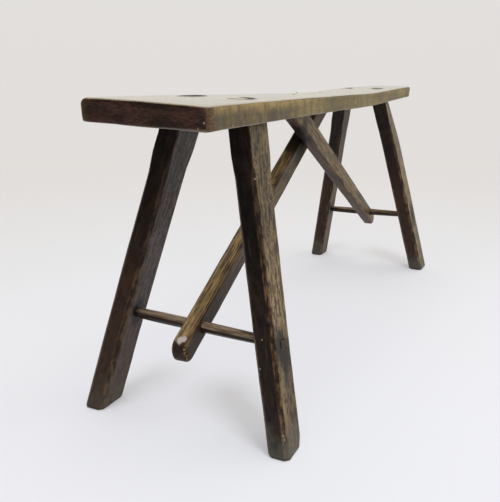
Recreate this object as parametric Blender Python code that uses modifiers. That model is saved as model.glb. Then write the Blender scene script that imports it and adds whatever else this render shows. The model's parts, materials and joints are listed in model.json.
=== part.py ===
"""Old plank bench: four splayed legs, two whittled stretchers and two crossing braces.

Metres, +Z up. X runs along the seat, from the near end at -X to the far end at +X.
Y runs across it, with the front at -Y. The floor is z = 0, under the middle of the bench.
"""

import math

import bmesh
import bpy
from mathutils import Matrix, Vector

# Fits: the play between two pieces that touch, and how far a cutter runs past what it cuts
joint_gap = 0.0003
cut_overrun = 0.006
weld_distance = 0.00001

# Seat board
seat_height = 0.452
seat_length = 1.040
seat_near_front = 0.0838
seat_near_back = 0.0942
seat_far_front = 0.0744
seat_far_back = 0.0702
seat_near_thickness = 0.0285
seat_far_thickness = 0.0245
seat_near_crown = 0.0012
seat_far_crown = 0.0030
seat_dip_front = 0.0046
seat_dip_back = 0.0091
seat_corner_lift = 0.0052
seat_far_front_lift = 0.0020
seat_far_back_drop = 0.0022
seat_dip_place_share = 0.67
seat_dip_power = 1.4
seat_dip_sharpness = 8
seat_near_back_round = 0.012
seat_near_front_round = 0.0075
seat_far_round = 0.007
seat_near_undercut = 0.0015
seat_far_undercut = 0.009
seat_top_round = 0.0035
seat_under_round = 0.0016
seat_stations = 40
seat_strips = 6

# Places of the legs' heads in the seat and of their feet on the floor
near_head_inset = 0.1725
near_front_head_margin = 0.0386
near_back_head_margin = 0.0376
near_front_foot_inset = 0.0763
near_back_foot_inset = 0.0780
near_front_foot_reach = 0.1511
near_back_foot_reach = 0.1520
far_head_inset = 0.184
far_front_head_margin = 0.0350
far_back_head_margin = 0.0368
far_front_foot_inset = 0.0620
far_back_foot_inset = 0.0500
far_front_foot_reach = 0.1371
far_back_foot_reach = 0.1409

# Legs: width along the bench and thickness across it
near_front_head_width = 0.0580
near_front_foot_width = 0.0505
near_front_head_thickness = 0.0320
near_front_foot_thickness = 0.0315
near_back_head_width = 0.0580
near_back_foot_width = 0.0540
near_back_head_thickness = 0.0339
near_back_foot_thickness = 0.0334
far_front_head_width = 0.0580
far_front_foot_width = 0.0535
far_front_head_thickness = 0.0320
far_front_foot_thickness = 0.0335
far_back_head_width = 0.0500
far_back_foot_width = 0.0505
far_back_head_thickness = 0.0295
far_back_foot_thickness = 0.0305
leg_head_chamfer = 0.0008
leg_chamfer = 0.0056
leg_chamfer_stop = 0.044
leg_chamfer_run = 0.030
near_leg_bow = 0.003
far_leg_bow = 0.002
leg_foot_round = 0.0018
leg_stations = 10
foot_chip_height = 0.018
foot_chip_width = 0.012
head_hew_width = 0.0315
head_hew_depth = 0.0135
head_hew_run = 0.114

# Through tenons and the wedges that spread them
near_tenon_width = 0.048
near_tenon_thickness = 0.0225
far_tenon_width = 0.040
far_tenon_thickness = 0.020
tenon_shift = 0.0045
tenon_chamfer = 0.0010
tenon_proud = 0.0012
tenon_crown_share = 0.55
wedge_depth = 0.021
wedge_top = 0.0040
wedge_tip = 0.0012

# Stretchers, whittled from square stock
near_stretcher_back_height = 0.1451
near_stretcher_front_height = 0.1405
far_stretcher_back_height = 0.1377
far_stretcher_front_height = 0.1448
near_stretcher_end = 0.0142
near_stretcher_middle = 0.0156
far_stretcher_end = 0.0124
far_stretcher_middle = 0.0148
near_stretcher_tenon = 0.0118
far_stretcher_tenon = 0.0108
stretcher_shoulder = 0.006
stretcher_swell_power = 0.7
stretcher_proud = 0.0005
stretcher_twist_degrees = 26.0
stretcher_flat_share = 0.36
stretcher_stations = 14

# Braces, bored for the stretchers and let into the seat
near_brace_foot_depth = 0.0329
near_brace_head_depth = 0.0388
far_brace_foot_depth = 0.0320
far_brace_head_depth = 0.0378
brace_thickness = 0.0245
brace_chamfer = 0.0036
near_brace_head_place = 0.1014
far_brace_head_place = 0.1100
brace_housing_depth = 0.009
near_nose_overhang = 0.0572
far_nose_overhang = 0.0510
far_brace_drop = 0.0052
nose_high_run = 0.019
nose_low_run = 0.011
nose_tip_drop = 0.004
nose_steps = 6

# Wrought nails through the seat into the brace heads, and one more near the back edge
nail_length = 0.042
nail_shank = 0.0046
nail_tip = 0.0020
nail_head = 0.0080
nail_head_height = 0.0028
nail_crown_share = 0.4
nail_corner_share = 0.22
nail_sink = 0.0026
back_nail_length = 0.020
back_nail_head = 0.0042
back_nail_sink = 0.0016
back_nail_x = 0.057
back_nail_y = 0.048

round_steps = 24
slide_steps = 4

near_head_x = near_head_inset - seat_length / 2
near_front_foot_x = near_front_foot_inset - seat_length / 2
near_back_foot_x = near_back_foot_inset - seat_length / 2
far_head_x = seat_length / 2 - far_head_inset
far_front_foot_x = seat_length / 2 - far_front_foot_inset
far_back_foot_x = seat_length / 2 - far_back_foot_inset


def clear_scene():
    """Removes every object that the file opened with."""
    for old in list(bpy.data.objects):
        bpy.data.objects.remove(old, do_unlink=True)


def make_collection(name):
    collection = bpy.data.collections.new(name)
    bpy.context.scene.collection.children.link(collection)
    return collection


def make_material(name, color, roughness, metallic=0.0):
    material = bpy.data.materials.new(name)
    material.use_nodes = True
    shader = material.node_tree.nodes["Principled BSDF"]
    shader.inputs["Base Color"].default_value = (*color, 1.0)
    shader.inputs["Roughness"].default_value = roughness
    shader.inputs["Metallic"].default_value = metallic
    material.diffuse_color = (*color, 1.0)
    return material


def mix(start, end, share):
    return start + (end - start) * share


def object_from(name, bm, collection):
    """Turns a bmesh into an object of the collection."""
    bmesh.ops.recalc_face_normals(bm, faces=bm.faces)
    mesh = bpy.data.meshes.new(name)
    bm.to_mesh(mesh)
    bm.free()
    made = bpy.data.objects.new(name, mesh)
    collection.objects.link(made)
    return made


def as_cutter(cutter):
    cutter.hide_render = True
    cutter.display_type = "WIRE"
    return cutter


def cut(target, cutter):
    boolean = target.modifiers.new("Cut " + cutter.name, "BOOLEAN")
    boolean.operation = "DIFFERENCE"
    boolean.solver = "EXACT"
    boolean.object = cutter


def loft(name, rings, collection):
    """Skins rings of equally many points, each turned the same way round, and caps both ends."""
    bm = bmesh.new()
    loops = [[bm.verts.new(point) for point in ring] for ring in rings]
    count = len(loops[0])
    for low, high in zip(loops, loops[1:]):
        for corner in range(count):
            following = (corner + 1) % count
            bm.faces.new((low[corner], low[following], high[following], high[corner]))
    bm.faces.new(reversed(loops[0]))
    bm.faces.new(loops[-1])
    return object_from(name, bm, collection)


def smooth(piece, degrees=32.0):
    piece.data.shade_smooth()
    piece.data.set_sharp_from_angle(angle=math.radians(degrees))


def chamfered_rectangle(width, thickness, chamfer):
    """Eight corners round a rectangle whose corners are cut off, from above anticlockwise."""
    half_x, half_y = width / 2, thickness / 2
    return [
        Vector((half_x - chamfer, -half_y, 0)),
        Vector((half_x, -half_y + chamfer, 0)),
        Vector((half_x, half_y - chamfer, 0)),
        Vector((half_x - chamfer, half_y, 0)),
        Vector((-half_x + chamfer, half_y, 0)),
        Vector((-half_x, half_y - chamfer, 0)),
        Vector((-half_x, -half_y + chamfer, 0)),
        Vector((-half_x + chamfer, -half_y, 0)),
    ]


def seat_front(x):
    return -mix(seat_near_front, seat_far_front, x / seat_length + 0.5)


def seat_back(x):
    return mix(seat_near_back, seat_far_back, x / seat_length + 0.5)


def dip(share):
    """How far the board has sunk at this share of its length: two slopes with a rounded meeting."""
    if not 0 < share < 1:
        return 0.0
    near_run = share / seat_dip_place_share
    far_run = (1 - share) / (1 - seat_dip_place_share)
    both = near_run ** -seat_dip_sharpness + far_run ** -seat_dip_sharpness
    return both ** (-seat_dip_power / seat_dip_sharpness)


def seat_plane(x, y):
    """Height of the worn, slightly wound top of the board, before its crown."""
    share = x / seat_length + 0.5
    sunk = dip(share)
    wound = (1 - sunk) * share
    front = seat_height - seat_dip_front * sunk + seat_far_front_lift * wound
    back = seat_height - seat_dip_back * sunk - seat_far_back_drop * wound
    back += seat_corner_lift * (1 - sunk) * (1 - share)
    return mix(front, back, (y - seat_front(x)) / (seat_back(x) - seat_front(x)))


def seat_top(x, y):
    """Height of the top, which is a little crowned from front to back."""
    crown = mix(seat_near_crown, seat_far_crown, x / seat_length + 0.5)
    across = (y - seat_front(x)) / (seat_back(x) - seat_front(x))
    return seat_plane(x, y) + crown * 4 * across * (1 - across)


def seat_under(x, y):
    return seat_plane(x, y) - mix(seat_near_thickness, seat_far_thickness, x / seat_length + 0.5)


def make_seat(collection):
    """The board: a box with stations along it, shaped to its taper, dip and wind, with worn edges."""
    bm = bmesh.new()
    bmesh.ops.create_cube(bm, size=1)
    along = [edge for edge in bm.edges if abs(edge.verts[0].co.x - edge.verts[1].co.x) > 0.5]
    bmesh.ops.subdivide_edges(bm, edges=along, cuts=seat_stations - 1, use_grid_fill=True)
    across = [edge for edge in bm.edges if abs(edge.verts[0].co.y - edge.verts[1].co.y) > 0.5]
    bmesh.ops.subdivide_edges(bm, edges=across, cuts=seat_strips - 1, use_grid_fill=True)
    weights = bm.edges.layers.float.new("bevel_weight_edge")
    for edge in bm.edges:
        edge[weights] = seat_edge_weight(edge)
    bm.verts.index_update()
    rims = {"top rim": [], "under rim": []}
    for vert in bm.verts:
        if max(abs(vert.co.x), abs(vert.co.y)) > 0.499:
            rims["top rim" if vert.co.z > 0 else "under rim"].append(vert.index)
        vert.co = seat_point(vert.co)
    seat = object_from("seat", bm, collection)
    corners = seat.modifiers.new("Worn corners", "BEVEL")
    corners.limit_method = "WEIGHT"
    corners.width = seat_near_back_round
    corners.segments = 4
    for group_name, rounding in (("top rim", seat_top_round), ("under rim", seat_under_round)):
        group = seat.vertex_groups.new(name=group_name)
        group.add(rims[group_name], 1, "REPLACE")
        bevel = seat.modifiers.new("Worn " + group_name, "BEVEL")
        bevel.limit_method = "VGROUP"
        bevel.vertex_group = group_name
        bevel.width = rounding
        bevel.segments = 3
    return seat


def seat_point(unit):
    """Where a point of the unit box lies on the board, whose ends slant in towards the bottom."""
    x = unit.x * seat_length
    if unit.z < 0 and abs(unit.x) > 0.499:
        x -= seat_far_undercut if unit.x > 0 else -seat_near_undercut
    y = mix(seat_front(x), seat_back(x), unit.y + 0.5)
    return Vector((x, y, seat_top(x, y) if unit.z > 0 else seat_under(x, y)))


def seat_edge_weight(edge):
    """Share of the greatest rounding that a vertical edge of the unit box gets."""
    first, second = edge.verts[0].co, edge.verts[1].co
    on_end = abs(first.x + second.x) > 0.99
    on_side = abs(first.y + second.y) > 0.99
    if not (on_end and on_side):
        return 0.0
    if first.x > 0:
        return seat_far_round / seat_near_back_round
    return 1.0 if first.y > 0 else seat_near_front_round / seat_near_back_round


class Leg:
    """Place and sections of one leg, whose side is -1 at the front. Its head lies the margin in
    from the seat's front edge, or as far behind the middle line. Pairs of sizes are foot, head."""

    def __init__(self, side, head_x, margin, foot_x, reach, widths, thicknesses, bow, tenon):
        self.side = side
        self.head = Vector((head_x, side * (-seat_front(head_x) - margin), seat_height))
        self.foot = Vector((foot_x, side * reach, 0))
        self.widths, self.thicknesses = widths, thicknesses
        self.bow = bow
        self.tenon_width, self.tenon_thickness = tenon
        self.hewn = False

    def axis(self, height):
        share = height / seat_height
        point = self.foot.lerp(self.head, share)
        point.x += self.bow * 4 * share * (1 - share)
        return point

    def tenon_axis(self, height):
        return self.axis(height) - Vector((0, self.side * tenon_shift, 0))

    def shoulder_height(self):
        return seat_under(self.head.x, self.head.y)

    def lean(self):
        """How the axis runs through the seat, for one unit of height."""
        return (self.axis(seat_height) - self.axis(self.shoulder_height())) / (
            seat_height - self.shoulder_height()
        )

    def half_thickness(self, height):
        return mix(*self.thicknesses, height / seat_height) / 2

    def face(self, side):
        """A point and the outward normal of the outer (1) or inner (-1) face."""
        outward = self.side * side
        low = Vector((self.foot.x, self.foot.y + outward * self.half_thickness(0), 0))
        high_y = self.head.y + outward * self.half_thickness(seat_height)
        normal = Vector((0, seat_height, low.y - high_y)).normalized() * outward
        return low, normal

    def ring(self, height, inset=0.0):
        width = mix(*self.widths, height / seat_height) - 2 * inset
        thickness = 2 * (self.half_thickness(height) - inset)
        below_seat = self.shoulder_height() - height
        opened = min(max((below_seat - leg_chamfer_stop) / leg_chamfer_run, 0.0), 1.0)
        chamfer = mix(leg_head_chamfer, leg_chamfer, opened)
        corners = chamfered_rectangle(width, thickness, chamfer)
        if self.hewn:
            # The first two corners bound the arris that faces forward and to the far end
            hewn_share = min(max(1 - below_seat / head_hew_run, 0.0), 1.0)
            corners[0].x = min(corners[0].x, width / 2 - head_hew_width * hewn_share)
            corners[1].y = max(corners[1].y, -thickness / 2 + head_hew_depth * hewn_share)
        center = self.axis(height)
        return [center + corner for corner in corners]

    def tenon_ring(self, height, grown=0.0):
        corners = chamfered_rectangle(
            self.tenon_width + 2 * grown, self.tenon_thickness + 2 * grown, tenon_chamfer
        )
        center = self.tenon_axis(height)
        return [center + corner for corner in corners]

    def tenon_crown(self, height):
        """The smaller ring at the top of the worn, domed end of the tenon."""
        center = self.tenon_axis(height)
        return [center.lerp(point, tenon_crown_share) for point in self.tenon_ring(height)]


def on_surface(leg, ring, surface, lift):
    """Slides a ring's points along the leg's lean to this height over a surface of the seat."""
    moved = []
    for point in ring:
        for _ in range(slide_steps):
            point = point + leg.lean() * (surface(point.x, point.y) + lift - point.z)
        moved.append(point)
    return moved


def make_leg(leg, name, collection):
    """A tapered, slightly bowed leg with stopped chamfers and a shouldered through tenon."""
    shoulder = leg.shoulder_height() - joint_gap
    chamfer_end = shoulder - leg_chamfer_stop
    chamfer_start = chamfer_end - leg_chamfer_run
    heights = [mix(leg_foot_round, chamfer_start, step / leg_stations) for step in range(leg_stations + 1)]
    rings = [leg.ring(0, leg_foot_round)]
    rings += [leg.ring(height) for height in heights]
    rings.append(leg.ring(chamfer_end))
    rings.append(on_surface(leg, leg.ring(shoulder), seat_under, -joint_gap))
    rings.append(on_surface(leg, leg.tenon_ring(shoulder), seat_under, -joint_gap))
    top = seat_top(leg.head.x, leg.head.y)
    rings.append(on_surface(leg, leg.tenon_ring(top), seat_top, joint_gap))
    rings.append(on_surface(leg, leg.tenon_crown(top), seat_top, tenon_proud))
    made = loft(name, rings, collection)
    smooth(made)
    return made


def make_mortise(leg, name, cutters):
    """The hole through the seat that the leg's tenon passes."""
    bottom = leg.shoulder_height() - cut_overrun
    top = seat_top(leg.head.x, leg.head.y) + cut_overrun
    rings = [leg.tenon_ring(bottom, joint_gap), leg.tenon_ring(top, joint_gap)]
    return as_cutter(loft(name, rings, cutters))


def wedge_rings(leg, grown, overrun):
    """The wedge's thin lower end, and its section where it leaves the seat."""
    top = seat_top(leg.head.x, leg.head.y)
    rings = []
    for height, width in ((top - wedge_depth - grown, wedge_tip), (top, wedge_top)):
        center = leg.tenon_axis(height)
        half_x = width / 2 + grown
        half_y = leg.tenon_thickness / 2 + overrun
        corners = ((half_x, -half_y), (half_x, half_y), (-half_x, half_y), (-half_x, -half_y))
        rings.append([center + Vector((x, y, 0)) for x, y in corners])
    rings[1] = on_surface(leg, rings[1], seat_top, joint_gap)
    return rings


def make_wedge(leg, name, collection):
    """A hardwood wedge, worn down to the same dome as the end of its tenon."""
    rings = wedge_rings(leg, 0.0, 0.0)
    middle = leg.tenon_axis(rings[1][0].z)
    crown = [
        Vector((point.x, mix(middle.y, point.y, tenon_crown_share), point.z)) for point in rings[1]
    ]
    rings.append(on_surface(leg, crown, seat_top, tenon_proud))
    return loft(name, rings, collection)


def make_kerf(leg, name, cutters):
    """The saw cut in the tenon that the wedge is driven into."""
    tip, top = wedge_rings(leg, joint_gap, cut_overrun)
    above = [point + leg.lean() * cut_overrun for point in top]
    return as_cutter(loft(name, [tip, top, above], cutters))


def make_foot_chip(leg, cutters):
    """A box tilted across the inner end of the foot, where the wood has broken away."""
    size = leg.widths[0]
    angle = math.atan2(foot_chip_height, foot_chip_width)
    edge = leg.foot + Vector((size / 2 - foot_chip_width, 0, 0))
    outward = Vector((math.sin(angle), 0, -math.cos(angle)))
    bm = bmesh.new()
    bmesh.ops.create_cube(bm, size=size)
    chip = object_from("foot_chip", bm, cutters)
    center = edge + outward * (size / 2)
    chip.matrix_world = Matrix.Translation(center) @ Matrix.Rotation(-angle, 4, "Y")
    return as_cutter(chip)


class Stretcher:
    """The line of one stretcher between the legs of one end, from the back leg to the front leg."""

    def __init__(self, back_leg, front_leg, back_height, front_height, end, middle, tenon):
        self.legs = (back_leg, front_leg)
        self.back = back_leg.axis(back_height)
        self.front = front_leg.axis(front_height)
        self.direction = (self.front - self.back).normalized()
        self.length = (self.front - self.back).length
        self.end_size, self.middle_size, self.tenon_size = end, middle, tenon

    def frame(self):
        """Local Z along the stretcher from the back leg's middle, local X nearly the bench's X."""
        side = self.direction.cross(Vector((1, 0, 0))).normalized()
        across = side.cross(self.direction).normalized()
        turn = Matrix((across, side, self.direction)).transposed().to_4x4()
        return Matrix.Translation(self.back) @ turn

    def size(self, distance, start):
        """Thickness at a distance along it, between the shoulder at start and the other one."""
        share = (distance - start) / (self.length - 2 * start)
        swell = max(math.sin(math.pi * share), 0.0) ** stretcher_swell_power
        return mix(self.end_size, self.middle_size, swell)

    def center(self):
        """The point halfway between the two legs."""
        share = self.back.y / (self.back.y - self.front.y)
        return self.back.lerp(self.front, share)

    def trimmed(self, ring, leg, side, lift):
        """Slides a ring along the stretcher onto the leg's outer (1) or inner (-1) face."""
        to_local = self.frame().inverted()
        point, normal = leg.face(side)
        point = to_local @ (point + normal * lift)
        normal = to_local.to_3x3() @ normal
        level = normal.dot(point)
        return [
            Vector((corner.x, corner.y, (level - normal.x * corner.x - normal.y * corner.y) / normal.z))
            for corner in ring
        ]


def whittled_section(size, turn):
    """An uneven octagon: broad flats with narrower ones between them, turned about the axis."""
    radius = size / 2 / math.cos(math.pi / 8)
    points = []
    for corner in range(8):
        swing = stretcher_flat_share * (1 if corner % 2 else -1)
        angle = math.tau * (corner + 0.5 + swing * 0.5) / 8 + turn
        points.append(Vector((radius * math.cos(angle), radius * math.sin(angle), 0)))
    return points


def make_stretcher(line, name, collection):
    """A whittled rod, thickest in the middle, with a tenon right through each leg."""
    twist = math.radians(stretcher_twist_degrees)

    def section(size, distance):
        return whittled_section(size, twist * (distance / line.length - 0.5))

    back_tenon = section(line.tenon_size, 0)
    front_tenon = section(line.tenon_size, line.length)
    back_leg, front_leg = line.legs
    start = back_leg.half_thickness(line.back.z) + stretcher_shoulder
    rings = [
        line.trimmed(back_tenon, back_leg, 1, stretcher_proud),
        line.trimmed(back_tenon, back_leg, -1, joint_gap),
    ]
    for step in range(stretcher_stations + 1):
        distance = mix(start, line.length - start, step / stretcher_stations)
        ring = section(line.size(distance, start), distance)
        rings.append([point + Vector((0, 0, distance)) for point in ring])
    rings.append(line.trimmed(front_tenon, front_leg, -1, joint_gap))
    rings.append(line.trimmed(front_tenon, front_leg, 1, stretcher_proud))
    made = loft(name, rings, collection)
    made.matrix_world = line.frame()
    smooth(made, 20.0)
    return made


def make_bore(line, middle, reach, size, name, cutters):
    """A round cutter along the stretcher, reaching this far each way from its middle."""
    # The hole's flats clear the corners of the eight-sided rod by the gap
    radius = (size / 2 / math.cos(math.pi / 8) + joint_gap) / math.cos(math.pi / round_steps)
    bm = bmesh.new()
    bmesh.ops.create_cone(
        bm, cap_ends=True, segments=round_steps, radius1=radius, radius2=radius, depth=2 * reach
    )
    bore = object_from(name, bm, cutters)
    bore.matrix_world = line.frame() @ Matrix.Translation((0, 0, middle))
    return as_cutter(bore)


class Brace:
    """The line of one brace, from the middle of its stretcher up to the underside of the seat.
    Its depths are those at the foot and at the head."""

    def __init__(self, line, head_x, side, overhang, drop, depths, rise_share):
        self.foot = line.center() - Vector((0, 0, drop))
        self.overhang = overhang
        self.depths = depths
        # The braces pass each other face to face, so half their thickness and the gap set the sway
        sway = side * (brace_thickness + joint_gap) / 2 / rise_share
        self.head = Vector((head_x, sway, seat_under(head_x, sway)))
        self.direction = (self.head - self.foot).normalized()
        sideways = Vector((0, 0, 1)).cross(self.direction).normalized()
        self.up = self.direction.cross(sideways).normalized()

    def frame(self):
        """Local X up along the brace, local Y square to it and upwards, local Z across it."""
        across = self.direction.cross(self.up)
        turn = Matrix((self.direction, self.up, across)).transposed().to_4x4()
        return Matrix.Translation(self.foot) @ turn


def brace_crossing_share(lines):
    """Share of a brace's length at which the two braces pass each other, in the side view."""
    near_foot, far_foot = lines["near"].center().x, lines["far"].center().x
    near_run = near_brace_head_place - near_foot
    far_run = far_foot + far_brace_head_place
    return (far_foot - near_foot) / (near_run + far_run)


def brace_outline(brace, grown):
    """Side view of a brace: a rounded, drooping nose below and a level cut at the head."""
    half = brace.depths[0] / 2 + grown
    head_half = brace.depths[1] / 2 + grown
    overhang = brace.overhang + grown
    high_run = nose_high_run + grown
    low_run = nose_low_run + grown
    points = []
    for step in range(nose_steps + 1):
        angle = math.pi / 2 * step / nose_steps
        rise = (half + nose_tip_drop) * math.cos(angle)
        points.append((high_run - overhang - high_run * math.sin(angle), rise - nose_tip_drop))
    for step in range(1, nose_steps + 1):
        angle = math.pi / 2 * step / nose_steps
        drop = (half - nose_tip_drop) * math.sin(angle)
        points.append((low_run - overhang - low_run * math.cos(angle), -nose_tip_drop - drop))
    slope = brace.direction.z
    level = brace.head.z + brace_housing_depth - joint_gap + grown - brace.foot.z
    for height in (-head_half, head_half):
        points.append(((level - height * brace.up.z) / slope, height))
    return points


def make_brace(brace, name, collection, grown=0.0):
    """The outline filled and thickened as a curve, made a mesh, with its long edges chamfered."""
    curve = bpy.data.curves.new(name + " outline", "CURVE")
    curve.dimensions = "2D"
    curve.fill_mode = "BOTH"
    curve.extrude = brace_thickness / 2 + grown
    outline = brace_outline(brace, grown)
    spline = curve.splines.new("POLY")
    spline.points.add(len(outline) - 1)
    for point, (x, y) in zip(spline.points, outline):
        point.co = (x, y, 0, 1)
    spline.use_cyclic_u = True
    drawn = bpy.data.objects.new(name + " outline", curve)
    collection.objects.link(drawn)
    drawn.matrix_world = brace.frame()
    bpy.context.view_layer.update()
    evaluated = drawn.evaluated_get(bpy.context.evaluated_depsgraph_get())
    mesh = bpy.data.meshes.new_from_object(evaluated)
    bm = bmesh.new()
    bm.from_mesh(mesh)
    bmesh.ops.remove_doubles(bm, verts=bm.verts, dist=weld_distance)
    bmesh.ops.dissolve_limit(bm, angle_limit=math.radians(1), verts=bm.verts, edges=bm.edges)
    made = object_from(name, bm, collection)
    made.matrix_world = drawn.matrix_world
    bpy.data.objects.remove(drawn)
    bpy.data.meshes.remove(mesh)
    bevel = made.modifiers.new("Chamfers", "BEVEL")
    bevel.limit_method = "ANGLE"
    bevel.angle_limit = math.radians(40)
    bevel.width = brace_chamfer
    bevel.segments = 1
    return made


def nail_rings(length, head, grown, crowned):
    """Rings of a wrought nail from its tip up, with the underside of its head at height 0."""
    shank = min(nail_shank, head / 2)
    sections = [
        (nail_head_height - length - grown, min(nail_tip, shank / 2)),
        (-grown, shank),
        (-grown, head),
        (nail_head_height / 2, head),
    ]
    rings = []
    for height, width in sections:
        size = width + 2 * grown
        ring = chamfered_rectangle(size, size, size * nail_corner_share)
        rings.append([point + Vector((0, 0, height)) for point in ring])
    if crowned:
        crown = head * nail_crown_share
        ring = chamfered_rectangle(crown, crown, crown * nail_corner_share)
        rings.append([point + Vector((0, 0, nail_head_height)) for point in ring])
    else:
        rings.append([point + Vector((0, 0, cut_overrun)) for point in rings[-1]])
    return rings


def make_nail(place, length, head, name, collection):
    nail = loft(name, nail_rings(length, head, 0.0, True), collection)
    nail.location = place
    return nail


def make_nail_hole(place, length, head, name, cutters):
    hole = as_cutter(loft(name, nail_rings(length, head, joint_gap, False), cutters))
    hole.location = place
    return hole


def on_seat(x, y, sink):
    """A place on the seat's top, and then this far below it."""
    return Vector((x, y, seat_top(x, y) - sink))


def make_seat_wood():
    """Tan, rubbed wood of the board."""
    return make_material("Seat wood", (0.115, 0.080, 0.042), 0.42)


def make_leg_wood():
    """Dark stained wood of the legs."""
    return make_material("Leg wood", (0.050, 0.034, 0.022), 0.45)


def make_stretcher_wood():
    """Dark wood, polished by hands and feet."""
    return make_material("Stretcher wood", (0.085, 0.060, 0.038), 0.40)


def make_brace_wood():
    """Dark brown wood of the braces."""
    return make_material("Brace wood", (0.075, 0.048, 0.026), 0.42)


def make_wedge_wood():
    """Paler end grain of the wedges."""
    return make_material("Wedge wood", (0.160, 0.115, 0.065), 0.50)


def make_nail_iron():
    """Oxidised wrought iron."""
    return make_material("Nail iron", (0.045, 0.040, 0.038), 0.60, 0.90)


def lay_out_legs():
    """The places and sizes of the four legs. The far front one is hewn away below the seat."""
    near_tenon = (near_tenon_width, near_tenon_thickness)
    far_tenon = (far_tenon_width, far_tenon_thickness)
    legs = {
        "near_back": Leg(
            1, near_head_x, near_back_head_margin, near_back_foot_x, near_back_foot_reach,
            (near_back_foot_width, near_back_head_width),
            (near_back_foot_thickness, near_back_head_thickness), -near_leg_bow, near_tenon,
        ),
        "near_front": Leg(
            -1, near_head_x, near_front_head_margin, near_front_foot_x, near_front_foot_reach,
            (near_front_foot_width, near_front_head_width),
            (near_front_foot_thickness, near_front_head_thickness), -near_leg_bow, near_tenon,
        ),
        "far_back": Leg(
            1, far_head_x, far_back_head_margin, far_back_foot_x, far_back_foot_reach,
            (far_back_foot_width, far_back_head_width),
            (far_back_foot_thickness, far_back_head_thickness), far_leg_bow, far_tenon,
        ),
        "far_front": Leg(
            -1, far_head_x, far_front_head_margin, far_front_foot_x, far_front_foot_reach,
            (far_front_foot_width, far_front_head_width),
            (far_front_foot_thickness, far_front_head_thickness), far_leg_bow, far_tenon,
        ),
    }
    legs["far_front"].hewn = True
    return legs


def build_legs(legs, seat, bench, cutters):
    """The four wedged legs, let through the seat. Returns their objects."""
    wood = make_leg_wood()
    wedge_wood = make_wedge_wood()
    objects = {}
    for label, leg in legs.items():
        made = objects[label] = make_leg(leg, "leg_" + label, bench)
        made.data.materials.append(wood)
        cut(seat, make_mortise(leg, "mortise_" + label, cutters))
        cut(made, make_kerf(leg, "kerf_" + label, cutters))
        wedge = make_wedge(leg, "wedge_" + label, bench)
        wedge.data.materials.append(wedge_wood)
    cut(objects["near_front"], make_foot_chip(legs["near_front"], cutters))
    return objects


def lay_out_stretchers(legs):
    """The lines of the near and the far stretcher."""
    near = Stretcher(
        legs["near_back"], legs["near_front"],
        near_stretcher_back_height, near_stretcher_front_height,
        near_stretcher_end, near_stretcher_middle, near_stretcher_tenon,
    )
    far = Stretcher(
        legs["far_back"], legs["far_front"],
        far_stretcher_back_height, far_stretcher_front_height,
        far_stretcher_end, far_stretcher_middle, far_stretcher_tenon,
    )
    return {"near": near, "far": far}


def lay_out_braces(lines):
    """The lines of the near and the far brace, which cross under the seat."""
    crossing = brace_crossing_share(lines)
    near = Brace(
        lines["near"], near_brace_head_place, 1, near_nose_overhang, 0,
        (near_brace_foot_depth, near_brace_head_depth), crossing,
    )
    far = Brace(
        lines["far"], -far_brace_head_place, -1, far_nose_overhang, far_brace_drop,
        (far_brace_foot_depth, far_brace_head_depth), crossing,
    )
    return {"near": near, "far": far}


def build_stretcher(end, line, wood, leg_objects, bench, cutters):
    """One stretcher, and its holes through both legs."""
    stretcher = make_stretcher(line, "stretcher_" + end, bench)
    stretcher.data.materials.append(wood)
    for side_name, middle in (("back", 0.0), ("front", line.length)):
        label = end + "_" + side_name
        reach = line.legs[0].thicknesses[1]
        bore = make_bore(line, middle, reach, line.tenon_size, "bore_" + label, cutters)
        cut(leg_objects[label], bore)


def build_brace(end, brace, line, wood, seat, bench, cutters):
    """One brace, bored for its stretcher and let into the seat."""
    made = make_brace(brace, "brace_" + end, bench)
    made.data.materials.append(wood)
    cut(seat, as_cutter(make_brace(brace, "housing_" + end, cutters, joint_gap)))
    middle = (line.center() - line.back).length
    cut(made, make_bore(line, middle, brace_thickness, line.middle_size, "eye_" + end, cutters))
    return made


def build_nail(name, place, length, head, iron, held, bench, cutters):
    """One nail, and its hole in each piece that it holds."""
    nail = make_nail(place, length, head, "nail_" + name, bench)
    nail.data.materials.append(iron)
    hole = make_nail_hole(place, length, head, "nail_hole_" + name, cutters)
    for piece in held:
        cut(piece, hole)


def build_bench():
    clear_scene()
    bench = make_collection("plank_bench")
    cutters = make_collection("cutters")
    seat = make_seat(bench)
    seat.data.materials.append(make_seat_wood())
    legs = lay_out_legs()
    leg_objects = build_legs(legs, seat, bench, cutters)
    lines = lay_out_stretchers(legs)
    braces = lay_out_braces(lines)
    stretcher_wood = make_stretcher_wood()
    brace_wood = make_brace_wood()
    iron = make_nail_iron()
    for end, line in lines.items():
        build_stretcher(end, line, stretcher_wood, leg_objects, bench, cutters)
        brace = braces[end]
        made = build_brace(end, brace, line, brace_wood, seat, bench, cutters)
        place = on_seat(brace.head.x, brace.head.y, nail_sink)
        build_nail(end, place, nail_length, nail_head, iron, (seat, made), bench, cutters)
    place = on_seat(back_nail_x, back_nail_y, back_nail_sink)
    build_nail("back", place, back_nail_length, back_nail_head, iron, (seat,), bench, cutters)


build_bench()
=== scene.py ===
"""Old plank bench of dark, waxed hardwood: its worn surfaces, its stage and its camera.

Metres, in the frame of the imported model: +Z up, the near end at -X and the front at -Y.
"""

import json
import math

import bpy
import numpy as np
from bpy.props import FloatProperty, FloatVectorProperty, PointerProperty
from mathutils import Matrix, Vector, noise

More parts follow.
